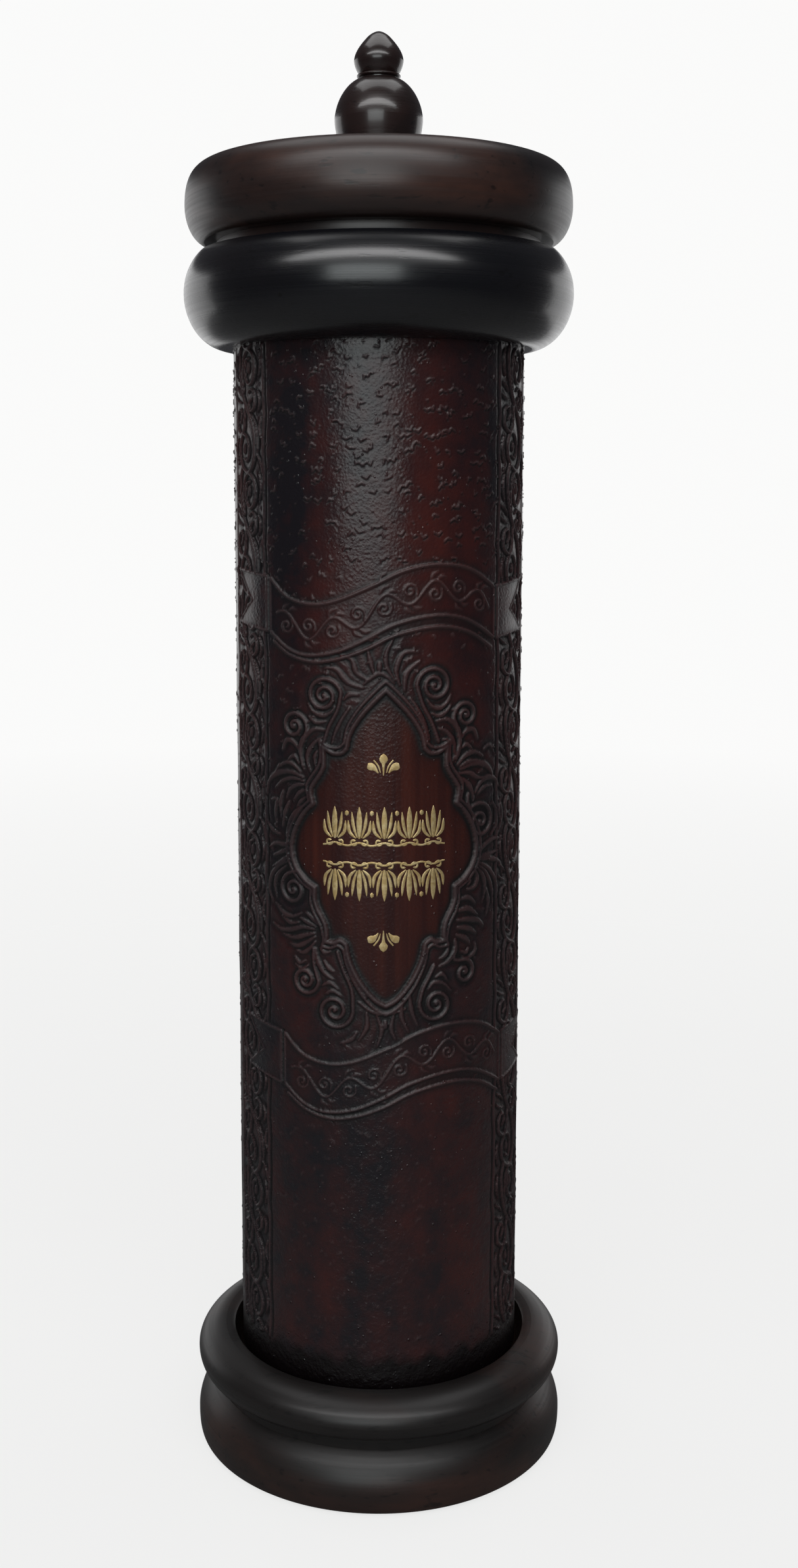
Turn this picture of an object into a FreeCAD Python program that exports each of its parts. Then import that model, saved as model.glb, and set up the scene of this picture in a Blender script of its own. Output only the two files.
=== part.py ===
"""A free-standing turned-wood and leather scroll case, in millimetres, standing on Z = 0 with its axis on Z.

A rigid tube wrapped in embossed leather stands in a two-part turned base. A turned collar is glued round
its top, and a turned lid with a knob lifts off: its plug slides into the neck, gripped by a felt ring.
"""

import FreeCAD, Part
import math
import os

# The tube and its skins, by radius from the axis outwards
SCROLL_R = 27.3            # clear radius of the scroll chamber
LINING_THICK = 0.95
CORE_R = 30.75             # outside of the rigid core tube
NECK_R = 28.3              # inside of the core tube and of the neck above it
TUBE_R = 32.0              # outside of the leather
LEATHER_THICK = 1.2
SEAM_GAP = 0.3             # the butt seam down the back of the leather
GLUE = 0.05                # glue line between fixed round faces

# Heights above the table
SOCKET_Z = 8.0             # floor of the socket that the tube stands in
FOOT_Z = 15.8              # top of the foot, where the base ring sits
LEATHER_Z = 21.0            # lower edge of the leather, down in the mouth of the base ring
COLLAR_Z = 249.15          # lower edge of the collar
TUBE_TOP_Z = 262.0
NECK_TOP_Z = 269.6         # top face of the collar
LID_Z = 271.8              # lower edge of the lid
KNOB_Z = 289.4             # seat of the knob on the lid
TIP_Z = 316.7

# Turned foot, base ring, collar and lid: widest radii and the heights where they are widest
FOOT_R, FOOT_WIDEST_Z = 42.4, 5.0
FOOT_NECK_R = 38.0
BASE_R, BASE_WIDEST_Z = 42.3, 20.1
BASE_CREST_R, BASE_CREST_Z = 36.0, 25.1
BASE_MOUTH_R = 33.8
COLLAR_R, COLLAR_WIDEST_Z = 42.65, 260.8
COLLAR_LIP_R = 33.7
COLLAR_TOP_R = 39.0
LID_R, LID_WIDEST_Z = 42.2, 279.3
LID_EDGE_R = 38.1
LID_CREST_R, LID_CREST_Z = 36.4, 288.0

# Lid plug and the felt ring in its groove
FLANGE_R = 35.4
FLANGE_TOP_Z = 274.0
LIFT_GAP = 0.05            # between the plug's flange and the collar it rests on
PLUG_R = 27.5
PLUG_Z = 252.3
GROOVE_LOW_Z, GROOVE_TOP_Z = 257.0, 263.0
GROOVE_R = 26.3
GRIP_R = 28.22             # outside of the felt ring, a sliding fit in the neck
RING_PLAY = 0.1

# Felt, screws and the knob's tenon
FELT_THICK = 1.2
BASE_FELT_R, BASE_FELT_THICK = 39.0, 1.6
WOOD_Z = 0.8               # underside of the wooden foot: the felt stands proud of it
TENON_R, TENON_Z = 3.35, 277.0
LID_SCREW_R, LID_SCREW_HEAD_R, LID_SCREW_TIP_Z = 1.85, 3.8, 286.0
BASE_SCREW_R, BASE_SCREW_HEAD_R, BASE_SCREW_TIP_Z = 1.75, 3.5, 21.5
BASE_SCREW_CIRCLE_R, BASE_SCREW_COUNT = 35.6, 4
SCREW_PLAY = 0.05

# Gold-stamped ornament on the front of the leather
FOIL_THICK = 0.08
STAMP_ROWS_Z = (136.8, 148.4)
STAMP_ROW_WIDTH = 27.5
STAMP_ROW_LEAVES = 7
STAMP_LEAF_LENGTH, STAMP_LEAF_WIDTH = 8.6, 3.0
PALMETTES_Z = (122.4, 164.4)
PALMETTE_LEAF_LENGTH, PALMETTE_LEAF_WIDTH = 4.0, 1.2
PALMETTE_TILTS = (-76, -38, 0, 38, 76)

ORIGIN = FreeCAD.Vector(0, 0, 0)
AXIS = FreeCAD.Vector(0, 0, 1)


def at(r, z):
    """The point at radius r and height z of a half-section."""
    return FreeCAD.Vector(r, 0, z)


def round_side(start, corner, end, fullness):
    """A conic that leaves start towards corner and arrives at end from it; 0.71 is a quarter ellipse."""
    curve = Part.BezierCurve()
    curve.setPoles([start, corner, end])
    curve.setWeight(2, fullness)
    return curve.toShape()


def turned(*steps):
    """Revolve a closed half-section.

    A step of (r, z) is a corner reached by a straight side. A step of (corner_r, corner_z, r, z, fullness)
    is a round side that bends round the corner and ends at r, z.
    """
    edges = []
    first = last = at(*steps[0])
    for step in steps[1:]:
        if len(step) == 2:
            end = at(*step)
            edges.append(Part.makeLine(last, end))
        else:
            end = at(*step[2:4])
            edges.append(round_side(last, at(*step[:2]), end, step[4]))
        last = end
    edges.append(Part.makeLine(last, first))
    return Part.Face(Part.Wire(edges)).revolve(ORIGIN, AXIS, 360)


def disc(radius, low, high):
    """A plain round disc on the axis."""
    return Part.makeCylinder(radius, high - low, at(0, low))


def sleeve(inner, outer, low, high):
    """A plain round sleeve on the axis."""
    return disc(outer, low, high).cut(disc(inner, low, high))


def round_the_axis(shape, count):
    """Copies of a shape, evenly turned round the axis."""
    copies = []
    for index in range(count):
        copy = shape.copy()
        copy.rotate(ORIGIN, AXIS, (index + 0.5) * 360 / count)
        copies.append(copy)
    return Part.makeCompound(copies)


def countersunk(shank, head, low, tip, depth):
    """A countersunk screw or, a little larger, its hole: flat head down at low, point up at tip."""
    return turned((0, low), (head, low), (head, low + depth), (shank, low + depth + head - shank),
                  (shank, tip - shank), (0.3, tip), (0, tip))


# ---- base -----------------------------------------------------------------------------------------


def base_screw(play):
    low = BASE_FELT_THICK + 0.4 - play
    screw = countersunk(BASE_SCREW_R + play, BASE_SCREW_HEAD_R + play, low, BASE_SCREW_TIP_Z + play, 0.6)
    screw.translate(FreeCAD.Vector(BASE_SCREW_CIRCLE_R, 0, 0))
    return screw


def base_foot():
    foot = turned((0, WOOD_Z), (41.8, WOOD_Z),
                  (FOOT_R, 1.0, FOOT_R, FOOT_WIDEST_Z, 1.1),
                  (FOOT_R, 9.8, FOOT_NECK_R, 13.0, 0.8),
                  (FOOT_NECK_R, FOOT_Z), (0, FOOT_Z))
    foot = foot.cut(disc(CORE_R + GLUE, SOCKET_Z, FOOT_Z))
    foot = foot.cut(disc(BASE_FELT_R + GLUE, WOOD_Z, BASE_FELT_THICK))
    holes = base_screw(SCREW_PLAY)
    holes = holes.fuse(Part.makeCylinder(BASE_SCREW_HEAD_R + SCREW_PLAY, 1.0,
                                         FreeCAD.Vector(BASE_SCREW_CIRCLE_R, 0, WOOD_Z)))
    return foot.cut(round_the_axis(holes, BASE_SCREW_COUNT))


def base_ring():
    ring = turned((CORE_R + GLUE, FOOT_Z), (38.1, FOOT_Z),
                  (BASE_R, 16.1, BASE_R, BASE_WIDEST_Z, 0.95),
                  (BASE_R, BASE_CREST_Z, BASE_CREST_R, BASE_CREST_Z, 0.66),
                  (BASE_MOUTH_R, BASE_CREST_Z, BASE_MOUTH_R, BASE_CREST_Z - 0.5, 0.71),
                  (BASE_MOUTH_R, 19.0, CORE_R + GLUE, 18.6, 0.71))
    return ring.cut(round_the_axis(base_screw(SCREW_PLAY), BASE_SCREW_COUNT))


def base_screws():
    return round_the_axis(base_screw(0), BASE_SCREW_COUNT)


def base_felt():
    return disc(BASE_FELT_R, 0, BASE_FELT_THICK)


# ---- tube -----------------------------------------------------------------------------------------


def core_tube():
    return sleeve(NECK_R, CORE_R, SOCKET_Z, TUBE_TOP_Z)


def floor_felt():
    return disc(NECK_R - GLUE, SOCKET_Z, SOCKET_Z + FELT_THICK)


def chamber_lining():
    return sleeve(SCROLL_R, SCROLL_R + LINING_THICK, SOCKET_Z + FELT_THICK, PLUG_Z - FELT_THICK - 0.8)


def leather_cover():
    cover = sleeve(TUBE_R - LEATHER_THICK, TUBE_R, LEATHER_Z, TUBE_TOP_Z)
    seam = Part.makeBox(SEAM_GAP, TUBE_R, TUBE_TOP_Z, FreeCAD.Vector(-SEAM_GAP / 2, 0, 0))
    return cover.cut(seam)


def leaf(length, width, tilt, x, z):
    """A pointed oval standing on x, z and tilted sideways, cut through the whole front of the case."""
    tip = FreeCAD.Vector(0, 0, length)
    sides = [Part.Arc(ORIGIN, FreeCAD.Vector(side * width / 2, 0, length * 0.45), tip) for side in (-1, 1)]
    face = Part.Face(Part.Wire([side.toShape() for side in sides]))
    prism = face.extrude(FreeCAD.Vector(0, -2 * TUBE_R, 0))
    prism.rotate(ORIGIN, FreeCAD.Vector(0, 1, 0), tilt)
    prism.translate(FreeCAD.Vector(x, 0, z))
    return prism


def palmette(z, way):
    """Five leaves fanned out of one point, upwards (way 1) or downwards (way -1)."""
    turn = 0 if way > 0 else 180
    return [leaf(PALMETTE_LEAF_LENGTH, PALMETTE_LEAF_WIDTH, turn + tilt, math.copysign(0.35, tilt) * way, z)
            for tilt in PALMETTE_TILTS]


def stamp_row(z):
    """A frieze of leaves leaning alternately left and right."""
    pitch = STAMP_ROW_WIDTH / STAMP_ROW_LEAVES
    leaves = []
    for index in range(STAMP_ROW_LEAVES):
        lean = 14 if index % 2 else -14
        x = (index - (STAMP_ROW_LEAVES - 1) / 2) * pitch - math.sin(math.radians(lean)) * STAMP_LEAF_LENGTH / 2
        leaves.append(leaf(STAMP_LEAF_LENGTH, STAMP_LEAF_WIDTH, lean, x, z - STAMP_LEAF_LENGTH / 2))
    return leaves


def gold_stamp():
    foil = sleeve(TUBE_R, TUBE_R + FOIL_THICK, PALMETTES_Z[0] - 8, PALMETTES_Z[1] + 8)
    leaves = palmette(PALMETTES_Z[0] + 2, -1) + palmette(PALMETTES_Z[1] - 2, 1)
    for z in STAMP_ROWS_Z:
        leaves += stamp_row(z)
    pieces = []
    for shape in leaves:
        pieces += foil.common(shape).Solids
    return Part.makeCompound(pieces)


def top_collar():
    return turned((TUBE_R + GLUE, COLLAR_Z), (COLLAR_LIP_R, COLLAR_Z),
                  (COLLAR_R, 249.4, COLLAR_R, COLLAR_WIDEST_Z, 0.69),
                  (COLLAR_R, 266.3, COLLAR_TOP_R, NECK_TOP_Z, 0.87),
                  (NECK_R + 0.6, NECK_TOP_Z), (NECK_R, NECK_TOP_Z - 0.6), (NECK_R, TUBE_TOP_Z + GLUE),
                  (TUBE_R + GLUE, TUBE_TOP_Z + GLUE))


# ---- lid ------------------------------------------------------------------------------------------


def lid_top():
    return turned((FLANGE_R + GLUE, LID_Z), (LID_EDGE_R, LID_Z),
                  (LID_R, 272.1, LID_R, LID_WIDEST_Z, 0.68),
                  (LID_R, LID_CREST_Z, LID_CREST_R, LID_CREST_Z, 1.0),
                  (20.0, LID_CREST_Z + 0.2, 10.5, KNOB_Z, 0.9),
                  (TENON_R + GLUE, KNOB_Z), (TENON_R + GLUE, FLANGE_TOP_Z), (FLANGE_R + GLUE, FLANGE_TOP_Z))


def lid_screw(play):
    low = PLUG_Z + 0.7 - play
    return countersunk(LID_SCREW_R + play, LID_SCREW_HEAD_R + play, low, LID_SCREW_TIP_Z + play, 0.8)


def lid_plug():
    plug = turned((0, PLUG_Z), (PLUG_R - 0.8, PLUG_Z), (PLUG_R, PLUG_Z + 0.8),
                  (PLUG_R, GROOVE_LOW_Z), (GROOVE_R, GROOVE_LOW_Z), (GROOVE_R, GROOVE_TOP_Z),
                  (PLUG_R, GROOVE_TOP_Z), (PLUG_R, NECK_TOP_Z + LIFT_GAP), (FLANGE_R, NECK_TOP_Z + LIFT_GAP),
                  (FLANGE_R, FLANGE_TOP_Z), (0, FLANGE_TOP_Z))
    mouth = disc(LID_SCREW_HEAD_R + SCREW_PLAY, PLUG_Z, PLUG_Z + 1.2)
    return plug.cut(lid_screw(SCREW_PLAY)).cut(mouth)


def plug_felt():
    return disc(PLUG_R - 1.2, PLUG_Z - FELT_THICK, PLUG_Z)


def friction_ring():
    return sleeve(GROOVE_R + RING_PLAY, GRIP_R, GROOVE_LOW_Z + RING_PLAY, GROOVE_TOP_Z - RING_PLAY)


def finial_knob():
    knob = turned((0, TENON_Z), (TENON_R - 0.4, TENON_Z), (TENON_R, TENON_Z + 0.4), (TENON_R, KNOB_Z),
                  (7.6, KNOB_Z),
                  (9.4, 294.0, 9.6, 298.0, 0.75),
                  (9.6, 305.5, 4.1, 306.7, 0.62),
                  (4.1, 306.9),
                  (4.8, 307.0, 4.75, 307.3, 0.71),
                  (4.8, 307.6, 4.25, 307.75, 0.71),
                  (5.35, 308.7, 5.35, 310.5, 0.5),
                  (5.35, 312.4, 2.8, 315.1, 1.0),
                  (1.5, TIP_Z, 0, TIP_Z, 0.7))
    return knob.cut(lid_screw(SCREW_PLAY))


PIECES = {
    "base_felt": base_felt,
    "base_foot": base_foot,
    "base_screws": base_screws,
    "base_ring": base_ring,
    "core_tube": core_tube,
    "floor_felt": floor_felt,
    "chamber_lining": chamber_lining,
    "leather_cover": leather_cover,
    "gold_stamp": gold_stamp,
    "top_collar": top_collar,
    "friction_ring": friction_ring,
    "plug_felt": plug_felt,
    "lid_plug": lid_plug,
    "lid_screw": lambda: lid_screw(0),
    "lid_top": lid_top,
    "finial_knob": finial_knob,
}

os.makedirs("parts", exist_ok=True)
for name, make in PIECES.items():
    shape = make()
    shape.exportStep(os.path.join("parts", name + ".step"))
    print(name, "solids", len(shape.Solids), "valid", shape.isValid(), "volume", round(shape.Volume, 1))
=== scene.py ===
"""The looks of a leather-covered scroll case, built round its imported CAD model.

Everything is in metres in the model's own frame, apart from the embossing, which is laid out in
millimetres on the unrolled leather: s runs round the tube from the middle of its front, + to the
right, and z is the height above the table.
"""

import math

import bpy
import numpy as np
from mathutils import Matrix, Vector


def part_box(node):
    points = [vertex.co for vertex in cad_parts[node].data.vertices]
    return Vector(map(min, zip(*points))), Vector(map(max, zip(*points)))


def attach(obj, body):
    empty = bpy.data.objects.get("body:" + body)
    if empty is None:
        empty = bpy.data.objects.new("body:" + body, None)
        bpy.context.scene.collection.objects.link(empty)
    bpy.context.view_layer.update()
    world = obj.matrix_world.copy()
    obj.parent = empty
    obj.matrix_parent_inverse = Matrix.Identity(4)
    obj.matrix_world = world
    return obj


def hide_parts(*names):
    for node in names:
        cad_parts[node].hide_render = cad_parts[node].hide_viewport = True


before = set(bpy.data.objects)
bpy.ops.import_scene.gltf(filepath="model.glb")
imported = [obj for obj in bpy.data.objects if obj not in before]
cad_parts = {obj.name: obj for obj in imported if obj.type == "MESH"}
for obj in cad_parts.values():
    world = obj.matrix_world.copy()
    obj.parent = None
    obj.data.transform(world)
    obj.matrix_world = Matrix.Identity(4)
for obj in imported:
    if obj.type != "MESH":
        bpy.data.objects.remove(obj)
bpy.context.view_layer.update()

MM = 0.001


def low_high(node, axis=2):
    """The lowest and highest coordinate of a CAD node along one axis, in millimetres."""
    low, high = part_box(node)
    return low[axis] / MM, high[axis] / MM


# ---- sizes taken from the frame, in millimetres ----

LEATHER_LOW, LEATHER_TOP = low_high("leather_cover")
LEATHER_R = low_high("leather_cover", 0)[1]
TUBE_R = low_high("core_tube", 0)[1]
COLLAR_LOW = low_high("top_collar")[0]
SKIN_R = LEATHER_R - 0.02  # the plain skin between the raised lines
SEAM_GAP = 0.3
PLAIN_Z = 30.3  # below this the leather is plain, and its colour darkens to black

# ---- embossing ----

COIL_STEPS = 26  # points in each turn of a coil


def smooth(points, steps=7):
    """A smooth curve through a few points."""
    p = np.array([points[0], *points, points[-1]], float)
    t = np.linspace(0, 1, steps, endpoint=False)[:, None]
    spans = []
    for a, b, c, d in zip(p[:-3], p[1:-2], p[2:-1], p[3:]):
        bend = 2 * a - 5 * b + 4 * c - d
        spans.append(b + 0.5 * ((c - a) * t + bend * t ** 2 + (3 * b - a - 3 * c + d) * t ** 3))
    return np.vstack([*spans, p[-1:]])


def placed(points, s, z, way):
    """A smooth line through points laid out about (s, z), upright (1) or upside down (-1)."""
    return smooth([(s + along, z + way * up) for along, up in points])


def coil(centre, outer, inner, start, turns):
    """A spiral inwards from the angle start in degrees; turns above 0 go anticlockwise."""
    t = np.linspace(0, 1, max(12, int(abs(turns) * COIL_STEPS)))
    angle = math.radians(start) + t * turns * 2 * math.pi
    radius = outer + (inner - outer) * t ** 0.9
    return np.stack([centre[0] + radius * np.cos(angle), centre[1] + radius * np.sin(angle)], 1)


class Relief:
    """The embossing over a grid of s and z.

    height is in millimetres above the plain skin. The others run up to 1: ground where the skin round
    a raised line is sunk, field on the panel's field, and painted shade along its edge.
    """

    def __init__(self, s, z):
        self.s = s
        self.z = z
        self.height, self.ground, self.field, self.shade = np.zeros((4, len(z), len(s)))

    def window(self, low, high):
        """The rows and columns of the grid between two corners, and s and z over them."""
        cols = slice(*np.searchsorted(self.s, [low[0], high[0]]))
        rows = slice(*np.searchsorted(self.z, [low[1], high[1]]))
        return rows, cols, *np.meshgrid(self.s[cols], self.z[rows])

    def near(self, line, reach):
        """The window within reach of a line, the gap to it and the share of it passed there."""
        rows, cols, s, z = self.window(line.min(0) - reach, line.max(0) + reach)
        gap = np.full(s.shape, np.inf)
        along = np.zeros(s.shape)
        spans = len(line) - 1
        for index in range(spans):
            a, d = line[index], line[index + 1] - line[index]
            t = np.clip(((s - a[0]) * d[0] + (z - a[1]) * d[1]) / max(d @ d, 1e-9), 0, 1)
            here = np.hypot(s - a[0] - t * d[0], z - a[1] - t * d[1])
            closer = here < gap
            gap = np.where(closer, here, gap)
            along = np.where(closer, (index + t) / spans, along)
        return rows, cols, gap, along

    def ridge(self, line, width, height, ends=(1, 1), dish=0.0, ground=0.0):
        """A raised rounded line, width on each side of its middle.

        ends are the shares of the width left at both ends, dish hollows its back like a petal, and
        the skin is sunk as far out as ground.
        """
        line = np.asarray(line, float)
        rows, cols, gap, along = self.near(line, max(width, ground))
        swell = np.interp(along, [0, 0.45, 1], [ends[0], 1, ends[1]])
        t = np.clip(gap / (width * swell), 0, 1)
        rise = height * np.sqrt(swell) * (1 - t * t) ** 1.3 * (1 - dish * (1 - t) ** 1.5)
        patch = self.height[rows, cols]
        self.height[rows, cols] = np.where(rise > 0, np.maximum(patch, rise), patch)
        if ground > 0:
            sunk = np.clip(1.6 * (1 - gap / ground), 0, 1)
            self.ground[rows, cols] = np.maximum(self.ground[rows, cols], sunk)

    def groove(self, line, width, depth):
        """A sunk rounded line."""
        rows, cols, gap, _ = self.near(np.asarray(line, float), width)
        self.height[rows, cols] -= depth * (1 - np.clip(gap / width, 0, 1) ** 2) ** 1.5

    def fill(self, rows, cols, within, height):
        """A new height where within holds, with no sunk ground."""
        self.height[rows, cols] = np.where(within, height, self.height[rows, cols])
        self.ground[rows, cols] = np.where(within, 0, self.ground[rows, cols])

    def clear(self, middle, wide, tall):
        """Flatten an ellipse again."""
        away = ((self.s[None, :] - middle[0]) / wide) ** 2 + ((self.z[:, None] - middle[1]) / tall) ** 2
        self.fill(slice(None), slice(None), away < 1, 0)


def inside(outline, s, z):
    """Which grid points lie inside a closed outline."""
    odd = np.zeros(s.shape, bool)
    for (s0, z0), (s1, z1) in zip(outline[:-1], outline[1:]):
        if z0 != z1:
            odd ^= ((z0 > z) != (z1 > z)) & (s < (s1 - s0) * (z - z0) / (z1 - z0) + s0)
    return odd


# ---- the panel ----

PANEL_S, PANEL_Z = 1.5, 143.4  # its middle
FIELD_DEPTH, FIELD_WALL = 0.36, 0.5  # how far its field is sunk, and how wide the slope down to it is
BEAD_HALF, BEAD_HEIGHT = 0.58, 0.36
OUTER_LINE = 1.055  # the finer line outside has this share of the outline's size
# The right half of its outline, about its middle and from the top down; each new list is a new corner
PANEL_SIDE = [
    [(0, 33.9), (2.4, 31.7), (5.4, 28.4), (7.6, 24.9), (8.4, 21.6)],
    [(8.4, 21.6), (9.6, 20.6), (11.6, 20.7), (13.5, 21.9)],
    [(13.5, 21.9), (13.4, 18.6), (13.9, 16.6), (15.6, 14.2)],
    [(15.6, 14.2), (16.5, 12.4), (16, 9.6)],
    [(16, 9.6), (18.4, 7.2), (20.6, 3.4), (21.4, -0.6), (20.6, -4), (18.4, -6.8), (15.6, -8.6)],
    [(15.6, -8.6), (15.7, -11), (14.9, -13.4)],
    [(14.9, -13.4), (13.4, -16), (12.9, -18.6), (13.2, -20)],
    [(13.2, -20), (11.4, -20.2), (9.8, -19.6), (8.6, -20.4)],
    [(8.6, -20.4), (7.8, -24), (5.6, -28.4), (2.6, -32), (0, -33.6)],
]


def panel_outline(grow=1.0):
    """The whole outline, grown about its middle."""
    right = np.vstack([smooth(part)[:-1] for part in PANEL_SIDE] + [[PANEL_SIDE[-1][-1]]])
    left = right[-2::-1] * [-1, 1]
    return np.vstack([right, left]) * grow + [PANEL_S, PANEL_Z]


def emboss_panel(relief):
    """The sunk field of the panel, the bead along its edge and painted shade on the field along that edge.
    """
    outline = panel_outline()
    rows, cols, gap, _ = relief.near(outline, 0)
    within = inside(outline, *np.meshgrid(relief.s[cols], relief.z[rows]))
    depth = np.clip((gap - 0.2) / FIELD_WALL, 0, 1)
    relief.fill(rows, cols, within, -FIELD_DEPTH * depth * depth * (3 - 2 * depth))
    relief.ridge(outline, BEAD_HALF, BEAD_HEIGHT)
    relief.field[rows, cols] = within * np.clip(gap / 0.6, 0, 1)
    # painted shade: the field darkens towards its edge
    relief.shade[rows, cols] = within * np.exp(-gap / 2.6)


# ---- the scrollwork round the panel ----

# Volutes: centre, outer radius, start angle, turns, and the points of the stem that leads up to the coil
VOLUTES = [
    # right side, from the top down
    ((12, 178.2), 4, 178, -2.1, (12.9, 166.3), (11.3, 170.4), (9.3, 174.2)),
    ((19.6, 171.5), 3.1, 195, -1.8, (17, 162.4), (18, 165.6), (17.3, 169.2)),
    ((23.9, 148.2), 4.3, 135, -1.9, (20.4, 154.6), (20.2, 153)),
    ((19.6, 115.8), 2.9, 110, -1.5, (17, 121.4), (16.9, 119)),
    ((12.6, 109.7), 3.9, 172, 1.9, (12.1, 118.2), (10.8, 115.6), (9.5, 113.2)),
    # left side, from the top down
    ((-11.85, 176), 4, 10, 2.1, (-11.7, 166.4), (-10.6, 169.6), (-8.7, 173.2)),
    ((-19, 169.2), 3.3, -15, 1.8, (-16.8, 160.8), (-17.3, 164.2), (-16.2, 167.4)),
    ((-19.5, 134), 3.6, 100, 1.8, (-17.3, 139), (-18.2, 138.2)),
    ((-16.5, 114.5), 3.3, 0, -1.9, (-14.4, 121.6), (-14.3, 118.2)),
    ((-9.6, 108.5), 4.2, 15, -2, (-8.9, 121.4), (-7.7, 117.8), (-5.8, 113.4)),
]
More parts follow.
